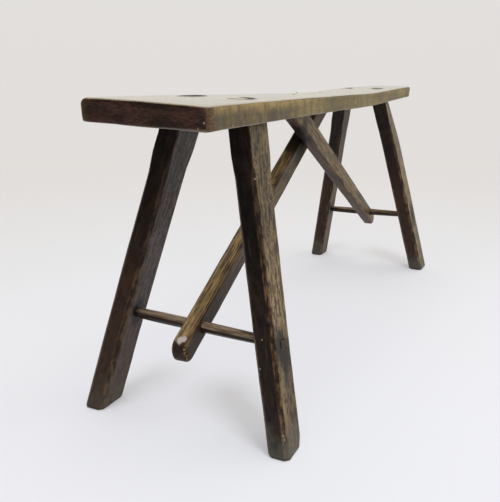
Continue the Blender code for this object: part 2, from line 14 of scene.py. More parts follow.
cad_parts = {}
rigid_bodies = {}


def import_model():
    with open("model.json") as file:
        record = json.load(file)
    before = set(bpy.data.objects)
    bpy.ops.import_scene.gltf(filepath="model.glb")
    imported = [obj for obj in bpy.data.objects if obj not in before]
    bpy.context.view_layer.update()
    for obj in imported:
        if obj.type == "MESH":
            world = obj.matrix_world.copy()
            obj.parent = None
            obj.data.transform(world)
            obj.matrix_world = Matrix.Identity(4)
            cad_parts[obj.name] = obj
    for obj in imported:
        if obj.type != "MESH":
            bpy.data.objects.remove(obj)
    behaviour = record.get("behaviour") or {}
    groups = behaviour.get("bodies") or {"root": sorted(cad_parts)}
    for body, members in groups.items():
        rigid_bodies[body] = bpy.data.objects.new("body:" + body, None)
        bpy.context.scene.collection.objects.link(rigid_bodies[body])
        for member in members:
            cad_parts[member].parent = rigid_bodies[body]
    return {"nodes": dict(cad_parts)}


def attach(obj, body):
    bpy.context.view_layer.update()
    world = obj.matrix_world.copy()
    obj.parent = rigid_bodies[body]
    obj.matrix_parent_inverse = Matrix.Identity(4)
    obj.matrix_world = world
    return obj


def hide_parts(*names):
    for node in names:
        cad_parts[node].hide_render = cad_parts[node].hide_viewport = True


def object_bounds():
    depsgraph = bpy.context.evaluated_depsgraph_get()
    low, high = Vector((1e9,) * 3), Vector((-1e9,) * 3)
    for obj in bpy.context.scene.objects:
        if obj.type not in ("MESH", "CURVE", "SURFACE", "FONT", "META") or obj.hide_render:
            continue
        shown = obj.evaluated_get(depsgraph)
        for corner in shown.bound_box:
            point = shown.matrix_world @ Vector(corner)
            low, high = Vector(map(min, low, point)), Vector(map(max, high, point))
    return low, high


bl_info = {
    "name": "Worn plank bench",
    "version": (1, 0, 0),
    "blender": (4, 5, 0),
    "location": "3D View > Sidebar > Bench",
    "description": "Builds the worn wooden pieces of an old plank bench over its solids",
    "category": "Object",
}

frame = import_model()
cad_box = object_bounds()

leg_labels = ("near_back", "near_front", "far_back", "far_front")
ends = ("near", "far")

# Spots, each its centre and its reach: the dark marks round the tenons' ends on the seat's top
tenon_marks = {
    "near_back": (-0.3579, 0.0315, 0.4557, 0.030), "near_front": (-0.3410, -0.0415, 0.4545, 0.013),
    "far_back": (0.3404, 0.0258, 0.4517, 0.018), "far_front": (0.3304, -0.0361, 0.4533, 0.012),
}
# Painted shade on the braces where one passes over the other
brace_crossing_shade = {
    "near": ((-0.0450, 0.0070, 0.3620, 0.030),),
    "far": ((-0.0850, -0.0140, 0.3880, 0.020), (-0.0500, -0.0100, 0.3690, 0.018)),
}
# Pale scuffs on the near front leg, on the seat and on the near brace's nose; those on the nose are
# partly a painted highlight
leg_scuffs = (
    (-0.4478, -0.1151, 0.1144, 0.0008), (-0.4404, -0.1142, 0.1525, 0.0008),
    (-0.3949, -0.0815, 0.3546, 0.0008),
)
seat_scuffs = ((-0.5182, -0.0796, 0.4344, 0.0007), (-0.5187, -0.0722, 0.4277, 0.0007))
nose_scuffs_and_highlight = ((-0.4587, -0.0010, 0.1385, 0.0048), (-0.4565, -0.0050, 0.1400, 0.0042))
# The ochre band down the seat's near front corner
corner_band = (-0.5125, -0.0830, 0.4370, 0.0125)

# The first seed of each kind of piece, for its dents
seeds = {"seat": 1, "leg": 2, "wedge": 7, "stretcher": 12, "brace": 15, "nail": 18}

# Stains where the stretchers pass through the legs
outer_joint_reach = 0.018
inner_joint_reach = 0.014
stretcher_tip_reach = 0.012
inner_joint_depth = 0.036
near_front_joint_shift = (-0.004, 0.0, -0.008)

# What sets the legs and the braces apart, as amounts for make_wood
# front and top partly paint light on faces turned to the front or up; shade_below paints shade low on the
# front
leg_looks = {
    # back_wear here also paints a highlight along the leg's back arris
    "near_back": dict(
        front=0.9, wear=0.42, back_wear=1.0, chamfer=0.35, ruddy=0.75, contrast=0.7, foot=0.30,
        light="smoke", shade_below=0.30, least_shade=0.45,
    ),
    "near_front": dict(
        front=1.0, wear=0.40, back_wear=0.08, chamfer=0.55, ruddy=0.10, foot=0.60, scuffs=leg_scuffs,
    ),
    "far_back": dict(front=0.60, wear=0.20, back_wear=0.2, chamfer=0.40, ruddy=0.65, foot=0.50),
    "far_front": dict(front=1.5, wear=0.30, back_wear=0.2, chamfer=0.60, ruddy=0.60, foot=0.50),
}
brace_looks = {
    # The near brace's top is painted light: top, top_dark and top_light make it golden as if lit from
    # above
    "near": dict(
        front=0.75, top=1.6, chamfer=1.0, ruddy=0.35, scuffs=nose_scuffs_and_highlight, scuff="chalk_and_highlight",
        top_dark="rod_brown", top_light="golden", shade_below=0.26,
    ),
    "far": dict(front=1.5, top=0.3, chamfer=0.6, ruddy=0.5),
}

# Heights between which a leg's red stain and its worn edges come in, from the top down
red_leg_heights = (0.38, 0.16)
worn_leg_heights = (0.42, 0.24)
tenon_heights = (0.445, 0.435)

# Heights and places between which the seat's look changes, from none to full
dull_heights = (0.449, 0.435)
dull_run = (-0.15, -0.40)
end_rim_heights = (0.4285, 0.4245)
end_olive_reach = (0.075, 0.089)
# Where the painted shade on the far end's corners comes in
far_rim_shade_run = (0.503, 0.512)

# Shine of the wood
wood_specular = 0.12
wax_coat = 0.8
wax_roughness = 0.12
arris_roughness = 0.22
grain_bump = 0.22
grain_depth = 0.0006

# Ageing: scales of its noise, how rare nicks are, and how a point's standing out makes it an arris
wave_scale = 22
worn_scale = 45
nick_scale = 105
nick_threshold = 0.22
nick_gain = 1.8
arris_rounds = 14
arris_cells = 1.9
least_arris = 0.12
wear_gain = 2.2
mask_gain = 2.4

# Shape of the seat's worn ends, and how deep a layer counts as an end or a tip
end_depth = 0.05
tip_depth = 0.003
contour_step = 0.002
undercut_reach = 0.014
undercut_start = 0.006
far_end_rounding = 0.005
near_corner_radius = 0.011
near_corner_run = 0.040

# Stage: a round floor whose rim is swept up into a wall
floor_radius = 2.6
cove_radius = 1.6
cove_steps = 12
wall_height = 4.0
rim_steps = 96
floor_mottling = 0.985
backdrop_low = (0.761, 0.732, 0.710)
backdrop_high = (0.765, 0.745, 0.720)
backdrop_rise = 1.3
# The floor's own glow, by the distance from below the leg light, which evens out what the lights leave
floor_glow = (
    (0.0, (0.345, 0.341, 0.356)), (0.6, (0.354, 0.343, 0.358)), (0.9, (0.347, 0.334, 0.339)),
    (1.3, (0.331, 0.318, 0.312)), (1.7, (0.340, 0.321, 0.310)), (2.1, (0.342, 0.316, 0.301)),
    (3.0, (0.354, 0.325, 0.306)),
)

# Daylight: where it comes from, its colour, and its level away from there and towards it
sky_toward = (0.90, -0.43, 0.0)
sky_color = (0.87, 0.855, 0.82)
sky_range = (-0.80, 0.30, 0.06, 0.92)
# Wide lights: the way they shine, their width in degrees and their strength
overhead_light = ((0.15, 0.0, -1.0), 68, 1.15)
window_light = ((-0.45, 0.75, -0.6), 50, 0.45)
# The softbox that lights only the floor
leg_light_place = (-0.42, -0.22, 1.9)
leg_light_size = 0.28
leg_light_power = 15.0
leg_light_color = (0.92, 1.0, 1.15)

# Camera, fitted to the photo: place, yaw, pitch and roll in degrees, lens in millimetres
camera_place = (-1.12371, -0.43729, 0.49185)
camera_angles = (23.63939, 16.11361, 0.75686)
camera_lens = 45.11
camera_shift = -0.0598


class BenchSizes(bpy.types.PropertyGroup):
    """How finely the pieces are modelled and how far they are worn."""

    seat_voxel: FloatProperty(
        name="Seat detail", description="Size of the seat's surface cells",
        default=0.0021, min=0.0005, unit="LENGTH",
    )
    leg_voxel: FloatProperty(
        name="Leg detail", description="Size of the surface cells of legs and braces",
        default=0.0011, min=0.0004, unit="LENGTH",
    )
    rod_voxel: FloatProperty(
        name="Stretcher detail", description="Size of the surface cells of the stretchers",
        default=0.0006, min=0.0003, unit="LENGTH",
    )
    small_voxel: FloatProperty(
        name="Nail and wedge detail", description="Size of the surface cells of nails and wedges",
        default=0.0004, min=0.0002, unit="LENGTH",
    )
    arris_wear: FloatProperty(
        name="Arris wear", description="How far the edges are worn back",
        default=0.0004, min=0, unit="LENGTH",
    )
    rub_reach: FloatProperty(
        name="Rubbed width", description="How far the rubbed colour reaches from an edge",
        default=0.0024, min=0.0005, unit="LENGTH",
    )
    nick_depth: FloatProperty(
        name="Nick depth", description="Depth of the dents and nicks along the edges",
        default=0.0007, min=0, unit="LENGTH",
    )
    undercut: FloatProperty(
        name="Undercut end", description="How far the seat's far end leans in at the bottom",
        default=0.0075, min=0, max=0.012, unit="LENGTH",
    )
    wave_depth: FloatProperty(
        name="Surface wave", description="Depth of the slow unevenness of hand-planed faces",
        default=0.00035, min=0, unit="LENGTH",
    )


class BenchColors(bpy.types.PropertyGroup):
    """Colours of the wood, its wear and its nails, and of the light and shade painted on them."""

    stain: FloatVectorProperty(
        name="Dark stain", description="Darkest tone of the old stain",
        subtype="COLOR", min=0, max=1, default=(0.0080, 0.0068, 0.0062),
    )
    leg_brown: FloatVectorProperty(
        name="Leg brown", description="Lighter tone of the stained grain of legs and braces",
        subtype="COLOR", min=0, max=1, default=(0.040, 0.026, 0.019),
    )
    red_brown: FloatVectorProperty(
        name="Red brown", description="Reddish tone of chamfers and of patches in the stain",
        subtype="COLOR", min=0, max=1, default=(0.072, 0.037, 0.022),
    )
    faded_brown: FloatVectorProperty(
        name="Faded brown", description="Darker tone of the faded grain",
        subtype="COLOR", min=0, max=1, default=(0.070, 0.047, 0.030),
    )
    faded_tan: FloatVectorProperty(
        name="Faded tan", description="Lighter tone of the faded grain",
        subtype="COLOR", min=0, max=1, default=(0.320, 0.235, 0.120),
    )
    # Also the painted light on the near brace's top, made golden as if lit
    golden: FloatVectorProperty(
        name="Golden brown", description="Lighter tone of the near brace's top and the seat's side",
        subtype="COLOR", min=0, max=1, default=(0.700, 0.475, 0.195),
    )
    # Painted light: the stretchers' tops are made this much lighter, as if lit from above
    rod_tan: FloatVectorProperty(
        name="Stretcher tan", description="Lighter tone of the whittled tops of the stretchers",
        subtype="COLOR", min=0, max=1, default=(0.520, 0.390, 0.280),
    )
    # Also the darker tone of the painted light on the tops of the stretchers and the near brace
    rod_brown: FloatVectorProperty(
        name="Stretcher brown", description="Darker tone of the tops of stretchers and near brace",
        subtype="COLOR", min=0, max=1, default=(0.200, 0.135, 0.075),
    )
    side_brown: FloatVectorProperty(
        name="Seat side brown", description="Darker tone of the seat's long sides",
        subtype="COLOR", min=0, max=1, default=(0.205, 0.150, 0.055),
    )
    side_tan: FloatVectorProperty(
        name="Seat side tan", description="Lighter tone of the seat's long sides",
        subtype="COLOR", min=0, max=1, default=(0.385, 0.290, 0.108),
    )
    olive: FloatVectorProperty(
        name="Olive bloom", description="Grey-green bloom on the sides of the seat",
        subtype="COLOR", min=0, max=1, default=(0.125, 0.105, 0.040),
    )
    cream: FloatVectorProperty(
        name="Cream top", description="Scrubbed, waxed top of the seat",
        subtype="COLOR", min=0, max=1, default=(0.465, 0.390, 0.255),
    )
    # Also the painted shade on the far end's corners
    side_grey: FloatVectorProperty(
        name="Seat side grey", description="Dull lower half of the seat's sides",
        subtype="COLOR", min=0, max=1, default=(0.098, 0.072, 0.054),
    )
    end_grain: FloatVectorProperty(
        name="End grain", description="Red-brown tone of the seat's ends",
        subtype="COLOR", min=0, max=1, default=(0.148, 0.068, 0.048),
    )
    ochre: FloatVectorProperty(
        name="Worn ochre", description="Bare wood where the edges are rubbed through",
        subtype="COLOR", min=0, max=1, default=(0.245, 0.145, 0.062),
    )
    # Also the painted highlight along worn arrises
    pale: FloatVectorProperty(
        name="Pale scuff", description="Palest scuffs, flecks and worn arrises",
        subtype="COLOR", min=0, max=1, default=(0.52, 0.45, 0.36),
    )
    # Partly a painted highlight on the nose of the near brace
    chalk_and_highlight: FloatVectorProperty(
        name="Chalky scuff", description="Fresh scuffs on the nose of the near brace",
        subtype="COLOR", min=0, max=1, default=(0.82, 0.73, 0.68),
    )
    grey: FloatVectorProperty(
        name="Grey film", description="Dry grey film of dust and old polish",
        subtype="COLOR", min=0, max=1, default=(0.170, 0.160, 0.132),
    )
    smoke: FloatVectorProperty(
        name="Smoky grey", description="Lighter tone of the grain on the near back leg",
        subtype="COLOR", min=0, max=1, default=(0.190, 0.176, 0.174),
    )
    iron: FloatVectorProperty(
        name="Iron", description="Dark oxidised iron of the nails",
        subtype="COLOR", min=0, max=1, default=(0.040, 0.034, 0.032),
    )
    rust: FloatVectorProperty(
        name="Rust", description="Rust on the nails, in patches",
        subtype="COLOR", min=0, max=1, default=(0.085, 0.035, 0.018),
    )
    bright_iron: FloatVectorProperty(
        name="Rubbed iron", description="Iron where the nails are rubbed bright",
        subtype="COLOR", min=0, max=1, default=(0.22, 0.21, 0.20),
    )
    floor: FloatVectorProperty(
        name="Floor", description="Pale floor, where light falls on it",
        subtype="COLOR", min=0, max=1, default=(0.40, 0.40, 0.40),
    )


def only(piece):
    """Makes this the one selected and active object."""
    bpy.ops.object.select_all(action="DESELECT")
    piece.select_set(True)
    bpy.context.view_layer.objects.active = piece


def merged_copy(node, name):
    """A copy of a solid with its loose triangles merged, as a new object at the origin."""
    if node not in frame["nodes"]:
        raise RuntimeError("The packed model has no solid named " + node)
    piece = bpy.data.objects.new(name, frame["nodes"][node].data.copy())
    bpy.context.scene.collection.objects.link(piece)
    piece.data.materials.clear()
    only(piece)
    bpy.ops.mesh.customdata_custom_splitnormals_clear()
    bpy.ops.object.mode_set(mode="EDIT")
    bpy.ops.mesh.select_all(action="SELECT")
    bpy.ops.mesh.remove_doubles(threshold=0.00001)
    bpy.ops.object.mode_set(mode="OBJECT")
    return piece


def refine(piece, voxel, rounds):
    """Gives the piece an even, fine surface and softens its arrises a little."""
    only(piece)
    piece.data.remesh_voxel_size = voxel
    bpy.ops.object.voxel_remesh()
    bpy.ops.object.mode_set(mode="EDIT")
    bpy.ops.mesh.select_all(action="SELECT")
    bpy.ops.mesh.vertices_smooth(factor=0.5, repeat=rounds)
    bpy.ops.mesh.normals_make_consistent(inside=False)
    bpy.ops.object.mode_set(mode="OBJECT")
    bpy.ops.object.shade_smooth()


def vertex_places(mesh):
    places = np.empty(len(mesh.vertices) * 3)
    mesh.vertices.foreach_get("co", places)
    return places.reshape(-1, 3)


def vertex_normals(mesh):
    normals = np.empty(len(mesh.vertices) * 3)
    mesh.vertices.foreach_get("normal", normals)
    return normals.reshape(-1, 3)


def move_points(mesh, places):
    mesh.vertices.foreach_set("co", places.ravel())
    mesh.update()


def bulge(mesh, rounds):
    """How far each point stands out of its softened surroundings: more than 0 on an arris."""
    places = vertex_places(mesh)
    pairs = np.empty(len(mesh.edges) * 2, dtype=np.int64)
    mesh.edges.foreach_get("vertices", pairs)
    first, second = pairs.reshape(-1, 2).T
    count = len(places)
    neighbours = np.bincount(pairs, minlength=count)[:, None]
    soft = places.copy()
    for _ in range(rounds):
        total = np.empty_like(soft)
        for axis in range(3):
            total[:, axis] = np.bincount(first, soft[second, axis], count)
            total[:, axis] += np.bincount(second, soft[first, axis], count)
        soft = (soft + total / neighbours) / 2
    return ((places - soft) * vertex_normals(mesh)).sum(1)


def store(mesh, name, values):
    """Keeps one value per point, for the material to read."""
    attribute = mesh.attributes.new(name, "FLOAT", "POINT")
    attribute.data.foreach_set("value", values.astype(np.float32))


def age(piece, voxel, seed, arris=1.0, wave=1.0, rub=1.0):
    """Wears the arrises, dents them here and there and makes the faces slightly uneven."""
    sizes = bpy.context.scene.bench_sizes
    mesh = piece.data
    reach = voxel * arris_cells
    standing = np.clip(bulge(mesh, arris_rounds) / reach, -1, 1)
    places = vertex_places(mesh)
    normals = vertex_normals(mesh)
    depth = np.zeros(len(places))
    offset = Vector((seed * 3.1, seed * 1.7, seed * 2.3))
    for index, place in enumerate(places):
        point = Vector(place) + offset
        depth[index] = sizes.wave_depth * wave * noise.noise(point * wave_scale)
        edge = standing[index]
        if edge > least_arris:
            worn = sizes.arris_wear * (0.9 + 0.9 * noise.noise(point * worn_scale))
            nick = max(noise.noise(point * nick_scale) - nick_threshold, 0) * sizes.nick_depth * nick_gain
            depth[index] += (worn + nick) * min(edge * wear_gain, 1) * arris
    moved = places - normals * depth[:, None]
    low, high = (np.array(corner) for corner in cad_box)
    move_points(mesh, np.clip(moved, low, high))
    standing = np.clip(bulge(mesh, arris_rounds) / reach, -1, 1)
    store(mesh, "arris", np.clip(standing * mask_gain, 0, 1))
    # Concave places, which the material darkens: partly dirt, partly painted shade
    store(mesh, "hollow", np.clip(-standing * mask_gain, 0, 1))
    # Each round of softening spreads a point over half a cell more, squared
    rounds = round((2 * sizes.rub_reach * rub / voxel) ** 2)
    store(mesh, "rub", np.clip(bulge(mesh, rounds) / voxel, 0, 1))


def stand_for(piece, node):
    """The piece takes the solid's place, hiding the solid, and rides on the root body."""
    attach(piece, "root")
    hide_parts(node)


def long_frame(piece):
    """Centre of a long piece and a turn whose Z runs along it and whose X is nearly level."""
    places = vertex_places(piece.data)
    centre = places.mean(0)
    along = np.linalg.svd((places - centre).T @ (places - centre))[0][:, 0]
    along = Vector(along)
    if along.z < -0.05 or (abs(along.z) <= 0.05 and along.x + along.y < 0):
        along = -along
    side = Vector((0, 1, 0)) if abs(along.y) < 0.8 else Vector((1, 0, 0))
    across = side.cross(along).normalized()
    depth = along.cross(across).normalized()
    turn = Matrix((across, depth, along)).transposed()
    return Vector(centre), turn.to_euler()


def add(tree, kind, links=None, **settings):
    """Adds a node, then sets each named input to a value or joins it to an output."""
    made = tree.nodes.new(kind)
    for name, value in settings.items():
        setattr(made, name, value)
    for name, value in (links or {}).items():
        if isinstance(name, int):
            socket = made.inputs[name]
        else:
            socket = next(s for s in made.inputs if s.enabled and s.name == name)
        if isinstance(value, bpy.types.NodeSocket):
            tree.links.new(value, socket)
        else:
            socket.default_value = value
    return made


def out(made, name=None):
    """The node's first output that is in use, or the one with this name."""
    return next(s for s in made.outputs if s.enabled and name in (None, s.name))


def math_node(tree, operation, first, second=0.0):
    return out(add(tree, "ShaderNodeMath", {0: first, 1: second}, operation=operation))


def times(tree, first, *others):
    """The product of all these values."""
    for other in others:
        first = math_node(tree, "MULTIPLY", first, other)
    return first


def plus(tree, first, *others):
    """The sum of all these values."""
    for other in others:
        first = math_node(tree, "ADD", first, other)
    return first


def minus(tree, first, second):
    return math_node(tree, "SUBTRACT", first, second)


def vector_math(tree, operation, first, second, output="Vector"):
    return out(add(tree, "ShaderNodeVectorMath", {0: first, 1: second}, operation=operation), output)


def parts_of(tree, vector):
    """The X, Y and Z of a vector."""
    split = add(tree, "ShaderNodeSeparateXYZ", {"Vector": vector})
    return out(split, "X"), out(split, "Y"), out(split, "Z")


def rgba(color):
    """A plain colour with its alpha. The output of a node stays as it is."""
    return color if isinstance(color, bpy.types.NodeSocket) else (*color[:3], 1.0)


def mixed(tree, factor, first, second):
    """Mixes two colours by a mask."""
    links = {"Factor": factor, "A": rgba(first), "B": rgba(second)}
    return out(add(tree, "ShaderNodeMix", links, data_type="RGBA"))


def ranged(tree, value, low, high, to_low=0.0, to_high=1.0):
    """Carries a value smoothly from one range to another."""
    links = {"Value": value, "From Min": low, "From Max": high, "To Min": to_low, "To Max": to_high}
    return out(add(tree, "ShaderNodeMapRange", links, interpolation_type="SMOOTHSTEP"))


def stretched(tree, place, along):
    """The place with its run along Z shortened, so that patterns draw out along it."""
    scale = out(add(tree, "ShaderNodeCombineXYZ", {"X": 1.0, "Y": 1.0, "Z": along}))
    return vector_math(tree, "MULTIPLY", place, scale)


def noisy(tree, place, scale, detail, rough):
    """Cloudy noise between 0 and 1, mostly near the middle."""
    links = {"Vector": place, "Scale": scale, "Detail": detail, "Roughness": rough}
    return out(add(tree, "ShaderNodeTexNoise", links), "Fac")


def new_group(name, inputs, outputs):
    """A shader node group with these inputs, each with its kind and default, and float outputs."""
    group = bpy.data.node_groups.new(name, "ShaderNodeTree")
    for label, kind, default in inputs:
        socket = group.interface.new_socket(label, in_out="INPUT", socket_type="NodeSocket" + kind)
        if default is not None:
            socket.default_value = default
    for label in outputs:
        group.interface.new_socket(label, in_out="OUTPUT", socket_type="NodeSocketFloat")
    return group, group.nodes.new("NodeGroupInput").outputs


def finished(group, **values):
    """Joins each value to the group's output of that name."""
    result = group.nodes.new("NodeGroupOutput")
    for name, value in values.items():
        group.links.new(value, result.inputs[name])
    return group


def make_grain_group():
    """Growth rings, streaks, specks and pores of a riven hardwood, drawn out along Z."""
    group, given = new_group(
        "Hardwood grain",
        (("Place", "Vector", None), ("Ring Scale", "Float", 26.0), ("Streak Scale", "Float", 300.0),
         ("Stretch", "Float", 0.28), ("Speck Stretch", "Float", 0.45)),
        ("Tone", "Streaks", "Pores", "Relief"),
    )
    place = given["Place"]
    slow = stretched(group, place, 0.07)
    noise_links = {"Vector": slow, "Scale": 22.0, "Detail": 2.0}
    drift = out(add(group, "ShaderNodeTexNoise", noise_links), "Color")
    drift = out(add(group, "ShaderNodeVectorMath", {0: drift, "Scale": 0.035}, operation="SCALE"))
    rings = out(add(
        group, "ShaderNodeTexWave",
        {"Vector": vector_math(group, "ADD", slow, drift), "Scale": given["Ring Scale"],
         "Distortion": 2.5, "Detail": 3.0, "Detail Scale": 2.0, "Detail Roughness": 0.6},
        wave_type="RINGS", rings_direction="Z",
    ), "Fac")
    drawn = stretched(group, place, given["Stretch"])
    streaks = ranged(group, noisy(group, drawn, given["Streak Scale"], 4.0, 0.62), 0.36, 0.64)
    drawn = stretched(group, place, given["Speck Stretch"])
    specks = ranged(group, noisy(group, drawn, 430.0, 3.0, 0.65), 0.36, 0.64)
    pores = ranged(group, noisy(group, stretched(group, place, 0.08), 1500.0, 1.0, 0.5), 0.60, 0.72)
    tone = plus(group, times(group, rings, 0.15), times(group, streaks, 0.55), times(group, specks, 0.30))
    relief = minus(group, tone, times(group, pores, 0.8))
    return finished(group, Tone=tone, Streaks=streaks, Pores=pores, Relief=relief)


def make_wear_group():
    """Where the edges are rubbed through to the bare wood, broken up along the grain."""
    group, given = new_group(
        "Rubbed arris",
        (("Place", "Vector", None), ("Rub", "Float", 0.0), ("Amount", "Float", 0.5),
         ("Breakup", "Float", 240.0)),
        ("Wear",),
    )
    place = given["Place"]
    broken = noisy(group, stretched(group, place, 0.10), given["Breakup"], 5.0, 0.68)
    slow = noisy(group, stretched(group, place, 0.30), 16.0, 2.0, 0.5)
    broken = times(group, minus(group, broken, 0.5), 2.3)
    slow = times(group, minus(group, slow, 0.5), 2.0)
    total = plus(group, given["Rub"], plus(group, broken, slow), given["Amount"])
    edge = ranged(group, given["Rub"], 0.10, 0.50)
    return finished(group, Wear=times(group, ranged(group, total, 0.65, 1.65), edge))


def make_faded_and_painted_light_group():
    """Where faces turned to the front or up are made lighter, partly as bleaching of the stain and partly
    as painted light; and where the chamfers are.
    """
    group, given = new_group(
        "Faded faces",
        (("Facing", "Vector", None), ("Patches", "Float", 0.5), ("Front", "Float", 0.5),
         ("Top", "Float", 0.3), ("Back Wear", "Float", 0.3)),
        ("Faded", "Chamfer", "Exposed", "Up"),
    )
    _, back, up = parts_of(group, given["Facing"])
    front = times(group, ranged(group, back, -0.50, -0.88), given["Front"])
    top = times(group, ranged(group, up, 0.30, 0.75), given["Top"])
    uneven = ranged(group, given["Patches"], 0.0, 1.0, 0.50, 1.0)
    sideways = math_node(group, "ABSOLUTE", back)
    return finished(
        group,
        Faded=times(group, math_node(group, "MAXIMUM", front, top), uneven),
        Chamfer=times(group, ranged(group, sideways, 0.38, 0.52), ranged(group, sideways, 0.90, 0.80)),
        Exposed=ranged(group, back, 0.10, -0.40, given["Back Wear"], 1.0),
        Up=ranged(group, up, 0.55, 0.90),
    )


def make_joint_group():
    """A cloudy spot round a place: dirt and polish round a joint, a scuff, painted shade where the braces
    cross, or a painted highlight on the near brace's nose.
    """
    group, given = new_group(
        "Joint stain",
        (("Place", "Vector", None), ("Centre", "Vector", None), ("Reach", "Float", 0.015)),
        ("Stain",),
    )
    away = vector_math(group, "SUBTRACT", given["Place"], given["Centre"])
    away = vector_math(group, "MULTIPLY", away, (1, 1, 0.55))
    distance = out(add(group, "ShaderNodeVectorMath", {0: away}, operation="LENGTH"), "Value")
    near = math_node(group, "DIVIDE", distance, given["Reach"])
    cloud = noisy(group, given["Place"], 210.0, 3.0, 0.6)
    near = plus(group, near, minus(group, cloud, 0.5))
    return finished(group, Stain=ranged(group, near, 1.25, 0.65))


def make_patch_group():
    """Slow patches of darker and lighter stain, drawn out along the grain."""
    group, given = new_group(
        "Stain patches",
        (("Place", "Vector", None), ("Scale", "Float", 14.0), ("Stretch", "Float", 0.35),
         ("Level", "Float", 0.5)),
        ("Patches",),
    )
    place = stretched(group, given["Place"], given["Stretch"])
    cloud = noisy(group, place, given["Scale"], 5.0, 0.6)
    shifted = plus(group, minus(group, cloud, 0.5), given["Level"])
    return finished(group, Patches=ranged(group, shifted, 0.36, 0.64))


def make_fleck_group():
    """A few small pale flecks and fine scratches."""
    group, given = new_group(
        "Flecks and scratches",
        (("Place", "Vector", None), ("Scale", "Float", 95.0), ("Share", "Float", 0.12)),
        ("Flecks", "Scratches"),
    )
    place = given["Place"]
    cells = add(group, "ShaderNodeTexVoronoi", {"Vector": place, "Scale": given["Scale"]})
    spot = ranged(group, out(cells, "Distance"), 0.16, 0.08)
    shade = add(group, "ShaderNodeSeparateColor", {"Color": out(cells, "Color")})
    chosen = math_node(group, "LESS_THAN", out(shade), given["Share"])
    slanted = add(
        group, "ShaderNodeMapping",
        {"Vector": place, "Rotation": (0.4, 0.3, 0.2), "Scale": (1.0, 1.0, 0.05)},
    )
    lines = noisy(group, out(slanted), 330.0, 1.0, 0.4)
    return finished(group, Flecks=times(group, spot, chosen), Scratches=ranged(group, lines, 0.70, 0.76))


def make_foot_group():
    """Grey-green dirt that fades out above the floor, and painted contact shade along the very bottom."""
    group, given = new_group(
        "Foot dirt", (("Place", "Vector", None), ("Reach", "Float", 0.09)), ("Dirt", "Damp"),
    )
    _, _, up = parts_of(group, given["Place"])
    cloud = noisy(group, given["Place"], 45.0, 4.0, 0.6)
    height = math_node(group, "DIVIDE", up, given["Reach"])
    height = plus(group, height, times(group, cloud, 1.1))
    edge = plus(group, up, times(group, cloud, 0.006))
    return finished(
        group, Dirt=ranged(group, height, 1.25, 0.55), Damp=ranged(group, edge, 0.008, 0.003),
    )


def make_scrubbed_group():
    """Cloudy wear and fine lines along the scrubbed top, where the pale wood darkens."""
    group, given = new_group("Scrubbed top", (("Place", "Vector", None),), ("Darker",))
    cloud = ranged(group, noisy(group, given["Place"], 150.0, 4.0, 0.68), 0.36, 0.66, 1.0, 0.75)
    lengthwise = vector_math(group, "MULTIPLY", given["Place"], (0.04, 1.0, 1.0))
    lines = ranged(group, noisy(group, lengthwise, 170.0, 4.0, 0.62), 0.44, 0.68, 1.0, 0.45)
    return finished(group, Darker=minus(group, 1.0, times(group, cloud, lines)))


group_makers = {
    "Hardwood grain": make_grain_group, "Rubbed arris": make_wear_group,
    "Stain patches": make_patch_group, "Flecks and scratches": make_fleck_group,
    "Foot dirt": make_foot_group, "Faded faces": make_faded_and_painted_light_group, "Joint stain": make_joint_group,
    "Scrubbed top": make_scrubbed_group,
}


def placed(tree, name, links):
    """Puts one of the shared groups into a tree. The group itself is built once."""
    made = tree.nodes.new("ShaderNodeGroup")
    made.node_tree = bpy.data.node_groups.get(name) or group_makers[name]()
    for label, value in links.items():
        if isinstance(value, bpy.types.NodeSocket):
            tree.links.new(value, made.inputs[label])
        else:
            made.inputs[label].default_value = value
    return made


def attribute(tree, name):
    """The value that age stored for each point under this name."""
    return out(add(tree, "ShaderNodeAttribute", attribute_name=name), "Fac")


def new_material(name):
    """A new material with its nodes and its shader."""
    material = bpy.data.materials.new(name)
    material.use_nodes = True
    return material, material.node_tree, material.node_tree.nodes["Principled BSDF"]


def feed(tree, shader, **values):
    """Sets each input of a shader, or joins it to an output. Spaces in names are written as _."""
    for name, value in values.items():
        socket = shader.inputs[name.replace("_", " ")]
        if isinstance(value, bpy.types.NodeSocket):
            tree.links.new(value, socket)
        else:
            socket.default_value = value


def bumped(tree, height, strength, distance):
    links = {"Height": height, "Strength": strength, "Distance": distance}
    return out(add(tree, "ShaderNodeBump", links), "Normal")


def spot_mask(tree, here, spots):
    """Cloudy spots, each round its place and as wide as its reach."""
    mask = None
    for spot in spots:
        links = {"Place": here, "Centre": spot[:3], "Reach": spot[3]}
        made = out(placed(tree, "Joint stain", links))
        mask = made if mask is None else math_node(tree, "MAXIMUM", mask, made)
    return mask


def spotted(tree, here, color, spots, spot_color, strength):
    """Lays cloudy spots of another colour over a colour."""
    if not spots:
        return color
    return mixed(tree, times(tree, spot_mask(tree, here, spots), strength), color, spot_color)


def scrubbed(tree, here):
    """The cream, waxed wood of the seat's top."""
    colors = bpy.context.scene.bench_colors
    darker = out(placed(tree, "Scrubbed top", {"Place": here}))
    return mixed(tree, darker, colors.cream, colors.faded_tan)


